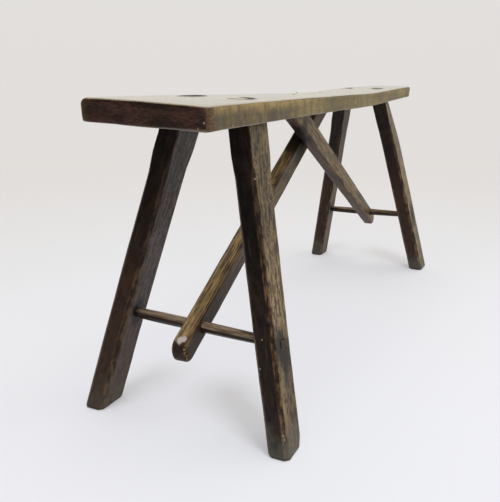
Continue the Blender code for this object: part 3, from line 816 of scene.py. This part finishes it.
def make_wood(
    name, piece, front=0.6, top=0.3, wear=0.35, back_wear=0.3, chamfer=0.35, ruddy=0.25, foot=0.0,
    joints=(), marks=(), scuffs=(), scuff="pale", ring_scale=26.0, streak_scale=300.0, stretch=0.28,
    speck_stretch=0.45, dark="faded_brown", light="faded_tan", top_dark=None, top_light=None,
    contrast=1.0, gloss=0.0, shade_below=None, least_shade=0.12,
):
    """Stained, waxed and worn hardwood whose grain runs along the piece.

    front and top: how far faces turned to the front and up are made lighter, partly as bleaching
    and partly as painted light, between the colours dark and light, or on top top_dark and top_light,
    with this contrast
    shade_below: height under which the front is made less light, down to least_shade: painted shade low
    down
    wear and back_wear: how far edges are rubbed through, in all and on faces turned away
    chamfer and ruddy: bare wood on chamfers, and red-brown patches in the stain
    foot: dirt above the floor, for a leg; with any foot, also painted contact shade along the bottom
    joints, marks and scuffs: dark spots (painted shade, on the braces), dark spots on the scrubbed top,
    and spots of the colour scuff (partly a painted highlight, on the near brace's nose)
    gloss: shine of the arrises
    """
    colors = bpy.context.scene.bench_colors
    material, tree, shader = new_material(name)
    centre, turn = long_frame(piece)
    coordinates = add(tree, "ShaderNodeTexCoord")
    here = out(coordinates, "Object")
    _, _, height = parts_of(tree, here)
    place = out(add(
        tree, "ShaderNodeMapping", {"Vector": here, "Location": centre, "Rotation": turn},
        vector_type="TEXTURE",
    ))
    grain = placed(
        tree, "Hardwood grain",
        {"Place": place, "Ring Scale": ring_scale, "Streak Scale": streak_scale, "Stretch": stretch,
         "Speck Stretch": speck_stretch},
    )
    tone = out(grain, "Tone")
    streaks = out(grain, "Streaks")
    patches = out(placed(tree, "Stain patches", {"Place": place}))
    reddish = out(placed(
        tree, "Stain patches", {"Place": place, "Scale": 52.0, "Stretch": 0.2, "Level": 0.45},
    ))
    faded = placed(
        tree, "Faded faces",
        {"Facing": out(coordinates, "Normal"), "Patches": patches, "Front": front, "Top": top,
         "Back Wear": back_wear},
    )
    up = out(faded, "Up")
    rubbed = out(placed(
        tree, "Rubbed arris", {"Place": place, "Rub": attribute(tree, "rub"), "Amount": wear},
    ))
    flecks = placed(tree, "Flecks and scratches", {"Place": place})

    # Stain, thinner in patches and reddish here and there
    stained = times(tree, tone, ranged(tree, patches, 0.0, 1.0, 0.25, 1.0))
    color = mixed(tree, stained, colors.stain, colors.leg_brown)
    lower = ranged(tree, height, *red_leg_heights, 0.05, 1.0) if foot else 1.0
    red = ranged(tree, reddish, 0.0, 1.0, ruddy, min(2.2 * ruddy, 1))
    red = times(tree, red, lower, ranged(tree, tone, 0.1, 0.8, 0.5, 1.0))
    color = mixed(tree, red, color, colors.red_brown)

    # Lighter grain on faces turned to the front or up: partly bleaching, partly painted light
    bright = ranged(tree, tone, 0.5 - 0.25 / contrast, 0.5 + 0.25 / contrast)
    bleached_and_lit_grain = mixed(tree, bright, getattr(colors, dark), getattr(colors, light))
    if top_light:
        worn = mixed(tree, bright, getattr(colors, top_dark), getattr(colors, top_light))
        bleached_and_lit_grain = mixed(tree, up, bleached_and_lit_grain, worn)
    faded_and_lit_mask = times(tree, out(faded, "Faded"), ranged(tree, reddish, 0.0, 1.0, 1.0, 0.62))
    # Painted shade: low down, the front is made less light, down to least_shade
    if shade_below:
        shaded = ranged(tree, height, shade_below * 0.6, shade_below, least_shade, 1.0)
        faded_and_lit_mask = times(tree, faded_and_lit_mask, math_node(tree, "MAXIMUM", shaded, up))
    color = mixed(tree, faded_and_lit_mask, color, bleached_and_lit_grain)

    # Red-brown chamfers, streaked with bare wood
    bevel = mixed(tree, tone, colors.stain, colors.red_brown)
    bare = times(tree, ranged(tree, streaks, 0.30, 0.85), chamfer, lower)
    bevel = mixed(tree, bare, bevel, colors.ochre)
    color = mixed(tree, times(tree, out(faded, "Chamfer"), 0.9), color, bevel)

    # Pores, worn arrises whose palest line is partly a painted highlight, and dirt and painted shade in
    # the hollows
    color = mixed(tree, times(tree, out(grain, "Pores"), 0.35), color, colors.stain)
    through = times(tree, rubbed, out(faded, "Exposed"))
    if foot:
        less_above = ranged(tree, height, *worn_leg_heights, 0.4, 1.0)
        through = times(tree, through, less_above, ranged(tree, height, *tenon_heights))
    through = times(tree, through, ranged(tree, tone, 0.15, 0.7, 0.45, 1.0))
    color = mixed(tree, through, color, colors.ochre)
    # The palest line along worn arrises: partly wear, partly a painted highlight
    pale_arris_and_highlight = ranged(tree, attribute(tree, "arris"), 0.45, 0.95, 0.0, 0.4)
    color = mixed(tree, times(tree, pale_arris_and_highlight, through), color, colors.pale)
    # Dirt and painted shade in concave places
    color = mixed(tree, times(tree, attribute(tree, "hollow"), 0.8), color, colors.stain)
    color = spotted(tree, here, color, joints, colors.stain, 0.85)
    rough = ranged(tree, streaks, 0.0, 1.0, 0.34, 0.52)
    if foot:
        ground = placed(tree, "Foot dirt", {"Place": here})
        dirt = out(ground, "Dirt")
        color = mixed(tree, times(tree, dirt, foot), color, colors.grey)
        # Painted contact shade: the dark stain colour along the very bottom of the foot
        color = mixed(tree, out(ground, "Damp"), color, colors.stain)
        rough = plus(tree, rough, times(tree, dirt, 0.25))
    color = mixed(tree, times(tree, out(flecks, "Flecks"), 0.6), color, colors.pale)
    color = mixed(tree, times(tree, out(flecks, "Scratches"), 0.2), color, colors.grey)
    color = spotted(tree, here, color, scuffs, getattr(colors, scuff), 0.9)

    # The ends that show on the seat's top
    if marks:
        marked = spotted(tree, here, scrubbed(tree, here), marks, colors.stain, 0.95)
        color = mixed(tree, up, color, marked)
        clean = minus(tree, 1.0, spot_mask(tree, here, marks))
        feed(tree, shader, Coat_Weight=times(tree, clean, up, wax_coat), Coat_Roughness=wax_roughness)
    if gloss:
        shine = times(tree, attribute(tree, "arris"), gloss)
        feed(tree, shader, Coat_Weight=shine, Coat_Roughness=arris_roughness)
    normal = bumped(tree, out(grain, "Relief"), grain_bump, grain_depth)
    feed(tree, shader, Base_Color=color, Roughness=rough, Normal=normal)
    feed(tree, shader, Specular_IOR_Level=wood_specular)
    piece.data.materials.append(material)
    return material


def make_seat_wood(name, piece):
    """Wood of the seat: worn tan sides with an olive bloom, a cream top and red-brown ends."""
    colors = bpy.context.scene.bench_colors
    material = make_wood(
        name, piece, front=1.0, top=1.0, wear=0.0, chamfer=0.0, ring_scale=18.0, stretch=0.16,
        speck_stretch=0.2, dark="side_brown", light="side_tan", contrast=0.6,
    )
    tree = material.node_tree
    shader = tree.nodes["Principled BSDF"]
    color = shader.inputs["Base Color"].links[0].from_socket
    coordinates = add(tree, "ShaderNodeTexCoord")
    here = out(coordinates, "Object")
    along, across, height = parts_of(tree, here)
    facing_along, _, facing_up = parts_of(tree, out(coordinates, "Normal"))
    on_top = ranged(tree, facing_up, 0.55, 0.90)
    off_top = minus(tree, 1.0, on_top)

    # Upright dark and olive streaks, golden wood and a dull lower half towards the near end
    upright = ranged(tree, noisy(tree, stretched(tree, here, 0.12), 90.0, 4.0, 0.6), 0.40, 0.74, 0.0, 0.7)
    color = mixed(tree, times(tree, upright, off_top), color, colors.olive)
    bloom = out(placed(
        tree, "Stain patches", {"Place": here, "Scale": 60.0, "Stretch": 0.6, "Level": 0.52},
    ))
    low = ranged(tree, height, *dull_heights)
    near = ranged(tree, along, *dull_run, 0.15, 1.0)
    gold = minus(tree, 0.34, times(tree, upright, 0.4))
    gold = times(tree, gold, near, off_top, minus(tree, 1.0, low))
    color = mixed(tree, gold, color, colors.golden)
    color = mixed(tree, times(tree, low, near, bloom, off_top), color, colors.side_grey)
    lower_arris = times(
        tree, ranged(tree, facing_up, -0.25, -0.60), ranged(tree, attribute(tree, "arris"), 0.2, 0.8),
    )
    color = mixed(tree, times(tree, lower_arris, 0.55), color, colors.pale)

    # Ochre band down the near front corner, and painted shade on the far end's rounded corners, where
    # they turn away
    flecked = ranged(tree, noisy(tree, here, 700.0, 3.0, 0.7), 0.50, 0.62)
    worn = mixed(tree, flecked, colors.red_brown, colors.ochre)
    color = spotted(tree, here, color, (corner_band,), worn, 0.85)
    far_rim_shade = times(tree, ranged(tree, along, *far_rim_shade_run), off_top, 0.7)
    color = mixed(tree, far_rim_shade, color, colors.side_grey)

    # Ends, drawn out along the growth rings
    drawn = vector_math(tree, "MULTIPLY", here, (1.0, 0.35, 1.0))
    cloud = ranged(tree, noisy(tree, drawn, 420.0, 5.0, 0.72), 0.20, 0.80)
    slow = ranged(tree, noisy(tree, drawn, 60.0, 2.0, 0.5), 0.35, 0.65, 0.35, 1.0)
    end_color = mixed(tree, times(tree, cloud, slow), colors.stain, colors.end_grain)
    left = ranged(tree, across, *end_olive_reach)
    end_color = mixed(tree, times(tree, left, 0.5), end_color, colors.olive)
    rim = ranged(tree, height, *end_rim_heights)
    end_color = mixed(tree, times(tree, rim, 0.45), end_color, colors.pale)
    at_end = ranged(tree, math_node(tree, "ABSOLUTE", facing_along), 0.60, 0.85)
    color = mixed(tree, at_end, color, end_color)

    # Scuffs, and the top
    color = spotted(tree, here, color, seat_scuffs, colors.pale, 0.8)
    color = mixed(tree, times(tree, on_top, 0.95), color, scrubbed(tree, here))
    feed(
        tree, shader, Base_Color=color, Coat_Weight=times(tree, on_top, wax_coat),
        Coat_Roughness=wax_roughness,
    )


def make_iron(name, piece):
    """Forged, oxidised iron, brighter where it is rubbed."""
    colors = bpy.context.scene.bench_colors
    material, tree, shader = new_material(name)
    here = out(add(tree, "ShaderNodeTexCoord"), "Object")
    rust = out(placed(tree, "Stain patches", {"Place": here, "Scale": 420.0, "Stretch": 1.0}))
    wear = out(placed(
        tree, "Rubbed arris", {"Place": here, "Rub": attribute(tree, "arris"), "Breakup": 500.0},
    ))
    color = mixed(tree, rust, colors.iron, colors.rust)
    feed(
        tree, shader, Base_Color=mixed(tree, wear, color, colors.bright_iron),
        Roughness=ranged(tree, rust, 0.0, 1.0, 0.45, 0.75),
        Metallic=ranged(tree, rust, 0.0, 1.0, 0.85, 0.35),
        Normal=bumped(tree, rust, 0.4, 0.0003),
    )
    piece.data.materials.append(material)


def worn_piece(node, voxel, seed, slot, rounds=1, **amounts):
    """A finely modelled, aged copy of one solid that stands in its place."""
    piece = merged_copy(node, "worn_" + node)
    refine(piece, voxel, rounds)
    age(piece, voxel, seed, **amounts)
    stand_for(piece, node)
    return piece


def stretcher_tips(end):
    """The middle of a stretcher's front and back tips."""
    places = vertex_places(frame["nodes"]["stretcher_" + end].data)
    across = places[:, 1]
    front = places[across < across.min() + tip_depth].mean(0)
    back = places[across > across.max() - tip_depth].mean(0)
    return Vector(front), Vector(back)


def joint_places(label):
    """Where the stretcher leaves the outer and the inner face of a leg, each with its stain's reach."""
    end, side = label.split("_")
    front, back = stretcher_tips(end)
    outer, other = (front, back) if side == "front" else (back, front)
    inner = outer + (other - outer).normalized() * inner_joint_depth
    if label == "near_front":
        outer += Vector(near_front_joint_shift)
    return (*outer, outer_joint_reach), (*inner, inner_joint_reach)


def end_face(piece, side):
    """The slanting face at one end of the board: its slope across, its middle, its bottom and its top."""
    places = vertex_places(piece.data)
    outwards = places[:, 0] * side
    facing = vertex_normals(piece.data)[:, 0] * side > 0.95
    face = places[facing & (outwards > outwards.max() - end_depth)]
    slope, middle = np.polyfit(face[:, 1], face[:, 0], 1)
    return slope, middle, face[:, 2].min(), face[:, 2].max()


def undercut_far_end(piece):
    """Leans the board's far end inwards at the bottom, where old use has split it, and rounds its top."""
    undercut = bpy.context.scene.bench_sizes.undercut
    places = vertex_places(piece.data)
    slope, end, low, high = end_face(piece, 1)
    inwards = end + slope * places[:, 1] - places[:, 0]
    inside = np.clip(1 - inwards / undercut_reach, 0, 1)
    start = high - undercut_start
    fall = np.clip((start - places[:, 2]) / (start - low), 0, 1)
    above = np.clip(1 - (high - places[:, 2]) / far_end_rounding, 0, 1)
    places[:, 0] -= (undercut * fall + far_end_rounding * (1 - np.sqrt(1 - above ** 2))) * inside
    move_points(piece.data, places)


def round_near_corner(piece):
    """Rounds the board's back top arris over towards the near end, where hands have worn it."""
    radius, run = near_corner_radius, near_corner_run
    places = vertex_places(piece.data)
    slope, end, _, _ = end_face(piece, -1)
    inwards = places[:, 0] - (end + slope * places[:, 1])
    # The back arris curves in towards the end, so it is found step by step
    steps = np.arange(0.0, run + 2 * contour_step, contour_step)
    contour = [places[abs(inwards - step) < 0.0015][:, 1].max() for step in steps]
    back = np.interp(inwards, steps, contour)
    top = places[(inwards < 0.01) & (places[:, 1] > 0.08)][:, 2].max()
    out_back = np.clip((places[:, 1] - back + radius) / radius, 0, None)
    out_up = np.clip((places[:, 2] - top + radius) / radius, 0, None)
    beyond = np.maximum(np.hypot(out_back, out_up), 1)
    share = np.clip(1 - inwards / run, 0, 1) * (out_back > 0) * (out_up > 0)
    places[:, 1] -= share * radius * out_back * (1 - 1 / beyond)
    places[:, 2] -= share * radius * out_up * (1 - 1 / beyond)
    move_points(piece.data, places)


class BENCH_OT_seat(bpy.types.Operator):
    """Builds the worn board of the seat"""

    bl_idname = "bench.seat"
    bl_label = "Seat"

    def execute(self, context):
        sizes = context.scene.bench_sizes
        piece = worn_piece("seat", sizes.seat_voxel, seeds["seat"], "seat_wood")
        undercut_far_end(piece)
        round_near_corner(piece)
        make_seat_wood("Seat board", piece)
        return {"FINISHED"}


class BENCH_OT_legs(bpy.types.Operator):
    """Builds the four splayed legs"""

    bl_idname = "bench.legs"
    bl_label = "Legs"

    def execute(self, context):
        sizes = context.scene.bench_sizes
        for number, label in enumerate(leg_labels):
            piece = worn_piece("leg_" + label, sizes.leg_voxel, seeds["leg"] + number, "leg_wood")
            make_wood(
                "Leg " + label, piece, top=0.0, streak_scale=190.0, joints=joint_places(label),
                marks=(tenon_marks[label],), **leg_looks[label],
            )
        return {"FINISHED"}


class BENCH_OT_wedges(bpy.types.Operator):
    """Builds the wedges in the leg tenons"""

    bl_idname = "bench.wedges"
    bl_label = "Wedges"

    def execute(self, context):
        sizes = context.scene.bench_sizes
        for number, label in enumerate(leg_labels):
            piece = worn_piece(
                "wedge_" + label, sizes.small_voxel, seeds["wedge"] + number, "wedge_wood",
                arris=0.2, wave=0.2, rub=0.3,
            )
            make_wood("Wedge " + label, piece, top=0.2, marks=(tenon_marks[label],))
        return {"FINISHED"}


class BENCH_OT_stretchers(bpy.types.Operator):
    """Builds the two whittled stretchers"""

    bl_idname = "bench.stretchers"
    bl_label = "Stretchers"

    def execute(self, context):
        sizes = context.scene.bench_sizes
        for number, end in enumerate(ends):
            piece = worn_piece(
                "stretcher_" + end, sizes.rod_voxel, seeds["stretcher"] + number, "stretcher_wood",
                rounds=0, arris=0.3, wave=0.5, rub=0.4,
            )
            # Their tops are painted light, through top and the colour rod_tan
            make_wood(
                "Stretcher " + end, piece, front=0.5, top=1.6, wear=0.5, chamfer=0.5, stretch=0.05,
                speck_stretch=0.08, dark="rod_brown", light="rod_tan", gloss=0.7,
                joints=[(*tip, stretcher_tip_reach) for tip in stretcher_tips(end)],
            )
        return {"FINISHED"}


class BENCH_OT_braces(bpy.types.Operator):
    """Builds the two crossing braces"""

    bl_idname = "bench.braces"
    bl_label = "Braces"

    def execute(self, context):
        sizes = context.scene.bench_sizes
        for number, end in enumerate(ends):
            piece = worn_piece(
                "brace_" + end, sizes.leg_voxel, seeds["brace"] + number, "brace_wood", arris=0.8,
            )
            # The dark spots given as joints are painted shade where the braces cross
            make_wood(
                "Brace " + end, piece, contrast=0.9, stretch=0.07, speck_stretch=0.14,
                joints=brace_crossing_shade[end], **brace_looks[end],
            )
        return {"FINISHED"}


class BENCH_OT_nails(bpy.types.Operator):
    """Builds the wrought nails"""

    bl_idname = "bench.nails"
    bl_label = "Nails"

    def execute(self, context):
        sizes = context.scene.bench_sizes
        for number, node in enumerate(("nail_near", "nail_far", "nail_back")):
            piece = worn_piece(
                node, sizes.small_voxel, seeds["nail"] + number, "nail_iron",
                arris=0.15, wave=0.4, rub=0.2,
            )
            make_iron(node.replace("_", " ").capitalize(), piece)
        return {"FINISHED"}


def make_floor_material():
    """Matt, faintly mottled pale floor with a glow of its own, which changes with the distance."""
    material, tree, shader = new_material("Pale floor")
    here = out(add(tree, "ShaderNodeTexCoord"), "Object")
    floor = bpy.context.scene.bench_colors.floor
    dim = [value * floor_mottling for value in floor]
    color = mixed(tree, noisy(tree, here, 1.4, 3.0, 0.5), dim, floor)
    away = vector_math(tree, "DISTANCE", here, (*leg_light_place[:2], 0.0), "Value")
    furthest = floor_glow[-1][0]
    along = out(add(tree, "ShaderNodeMapRange", {"Value": away, "From Min": 0.0, "From Max": furthest}))
    ramp = add(tree, "ShaderNodeValToRGB", {0: along})
    stops = ramp.color_ramp.elements
    for distance, _ in floor_glow[1:-1]:
        stops.new(distance / furthest)
    for stop, (_, glow) in zip(stops, floor_glow):
        stop.color = rgba(glow)
    feed(tree, shader, Base_Color=color, Roughness=0.9, Specular_IOR_Level=0.1)
    feed(tree, shader, Emission_Color=out(ramp), Emission_Strength=1.0)
    return material


def make_backdrop_material():
    """Evenly lit pale wall, a shade lighter towards its top."""
    material, tree, shader = new_material("Lit backdrop")
    _, _, height = parts_of(tree, out(add(tree, "ShaderNodeTexCoord"), "Object"))
    color = mixed(tree, ranged(tree, height, 0.0, backdrop_rise), backdrop_low, backdrop_high)
    feed(tree, shader, Base_Color=(0, 0, 0, 1), Roughness=1.0, Specular_IOR_Level=0.0)
    feed(tree, shader, Emission_Color=color, Emission_Strength=1.0)
    return material


def make_floor(material):
    bpy.ops.object.select_all(action="DESELECT")
    bpy.ops.mesh.primitive_circle_add(vertices=rim_steps, radius=floor_radius, fill_type="NGON")
    floor = bpy.context.object
    floor.name = "floor"
    floor.data.materials.append(material)


def make_backdrop(material):
    """A round cove: the floor's rim swept up into a wall."""
    wall = floor_radius + cove_radius
    points = []
    for step in range(cove_steps + 1):
        angle = math.pi / 2 * step / cove_steps
        away = floor_radius + cove_radius * math.sin(angle)
        points.append((away, 0, cove_radius * (1 - math.cos(angle))))
    points.append((wall, 0, wall_height))
    mesh = bpy.data.meshes.new("backdrop")
    mesh.from_pydata(points, [(i, i + 1) for i in range(len(points) - 1)], [])
    backdrop = bpy.data.objects.new("backdrop", mesh)
    bpy.context.scene.collection.objects.link(backdrop)
    only(backdrop)
    bpy.ops.object.mode_set(mode="EDIT")
    bpy.ops.mesh.select_all(action="SELECT")
    bpy.ops.mesh.spin(steps=rim_steps, angle=math.tau, center=(0, 0, 0), axis=(0, 0, 1))
    bpy.ops.mesh.remove_doubles(threshold=0.001)
    bpy.ops.mesh.normals_make_consistent(inside=True)
    bpy.ops.object.mode_set(mode="OBJECT")
    bpy.ops.object.shade_smooth()
    backdrop.data.materials.append(material)
    backdrop.visible_glossy = False
    backdrop.visible_diffuse = False


def make_world():
    """Soft daylight from the far right, dim towards the near end."""
    world = bpy.data.worlds.new("Studio")
    bpy.context.scene.world = world
    world.use_nodes = True
    tree = world.node_tree
    direction = out(add(tree, "ShaderNodeTexCoord"), "Generated")
    toward = vector_math(tree, "DOT_PRODUCT", direction, sky_toward, "Value")
    color = mixed(tree, ranged(tree, toward, *sky_range), (0, 0, 0), sky_color)
    feed(tree, tree.nodes["Background"], Color=color, Strength=1.0)


def add_light(name, kind, power, **settings):
    """A light with these settings, at the origin."""
    data = bpy.data.lights.new(name, kind)
    data.energy = power
    for setting, value in settings.items():
        setattr(data, setting, value)
    light = bpy.data.objects.new(name, data)
    bpy.context.scene.collection.objects.link(light)
    return light


def make_leg_light():
    """A round softbox over the near end that lights the floor alone, and that only the legs shade."""
    light = add_light(
        "Floor softbox", "AREA", leg_light_power, shape="DISK", size=leg_light_size,
        color=leg_light_color,
    )
    light.location = leg_light_place
    lit = bpy.data.collections.new("Lit by the floor softbox")
    lit.objects.link(bpy.data.objects["floor"])
    shading = bpy.data.collections.new("Shading the floor softbox")
    for label in leg_labels:
        shading.objects.link(bpy.data.objects["worn_leg_" + label])
    light.light_linking.receiver_collection = lit
    light.light_linking.blocker_collection = shading


def make_wide_light(name, toward, angle, strength):
    """A wide, soft light that shines everywhere in one direction."""
    light = add_light(name, "SUN", strength, angle=math.radians(angle))
    light.location = -2 * Vector(toward)
    light.rotation_euler = Vector(toward).to_track_quat("-Z", "Y").to_euler()


def make_camera():
    """Stands a little above the seat, off the near end, turned and pitched to the view."""
    yaw, pitch, roll = (math.radians(angle) for angle in camera_angles)
    flat = Vector((math.cos(yaw), math.sin(yaw), 0))
    forward = flat * math.cos(pitch) - Vector((0, 0, math.sin(pitch)))
    level = Vector((math.sin(yaw), -math.cos(yaw), 0))
    upward = level.cross(forward)
    right = math.cos(roll) * level + math.sin(roll) * upward
    upward = math.cos(roll) * upward - math.sin(roll) * level
    data = bpy.data.cameras.new("Camera")
    camera = bpy.data.objects.new("Camera", data)
    bpy.context.scene.collection.objects.link(camera)
    turn = Matrix((right, upward, -forward)).transposed().to_4x4()
    camera.matrix_world = Matrix.Translation(camera_place) @ turn
    data.sensor_width = 36
    data.lens = camera_lens
    data.shift_x = camera_shift
    data.clip_start = 0.05
    bpy.context.scene.camera = camera


class BENCH_OT_stage(bpy.types.Operator):
    """Builds the pale floor and backdrop, the soft lights and the camera"""

    bl_idname = "bench.stage"
    bl_label = "Stage"

    def execute(self, context):
        make_floor(make_floor_material())
        make_backdrop(make_backdrop_material())
        make_world()
        make_wide_light("Overhead softbox", *overhead_light)
        make_leg_light()
        make_wide_light("Right window", *window_light)
        make_camera()
        context.scene.view_settings.view_transform = "Standard"
        return {"FINISHED"}


operators = (
    BENCH_OT_seat, BENCH_OT_legs, BENCH_OT_wedges, BENCH_OT_stretchers, BENCH_OT_braces,
    BENCH_OT_nails, BENCH_OT_stage,
)


class BENCH_PT_pieces(bpy.types.Panel):
    """Lists the bench's pieces and its settings"""

    bl_idname = "BENCH_PT_pieces"
    bl_label = "Plank bench"
    bl_space_type = "VIEW_3D"
    bl_region_type = "UI"
    bl_category = "Bench"

    def draw(self, context):
        for group in (context.scene.bench_sizes, context.scene.bench_colors):
            box = self.layout.box()
            for name in group.__annotations__:
                box.prop(group, name)
        for operator in operators:
            self.layout.operator(operator.bl_idname)


classes = (BenchSizes, BenchColors, *operators, BENCH_PT_pieces)


def register():
    for item in classes:
        bpy.utils.register_class(item)
    bpy.types.Scene.bench_sizes = PointerProperty(type=BenchSizes)
    bpy.types.Scene.bench_colors = PointerProperty(type=BenchColors)


def unregister():
    del bpy.types.Scene.bench_colors
    del bpy.types.Scene.bench_sizes
    for item in reversed(classes):
        bpy.utils.unregister_class(item)


def main():
    """Builds every piece and the stage."""
    register()
    bpy.ops.bench.seat()
    bpy.ops.bench.legs()
    bpy.ops.bench.wedges()
    bpy.ops.bench.stretchers()
    bpy.ops.bench.braces()
    bpy.ops.bench.nails()
    bpy.ops.bench.stage()


if __name__ == "__main__":
    main()
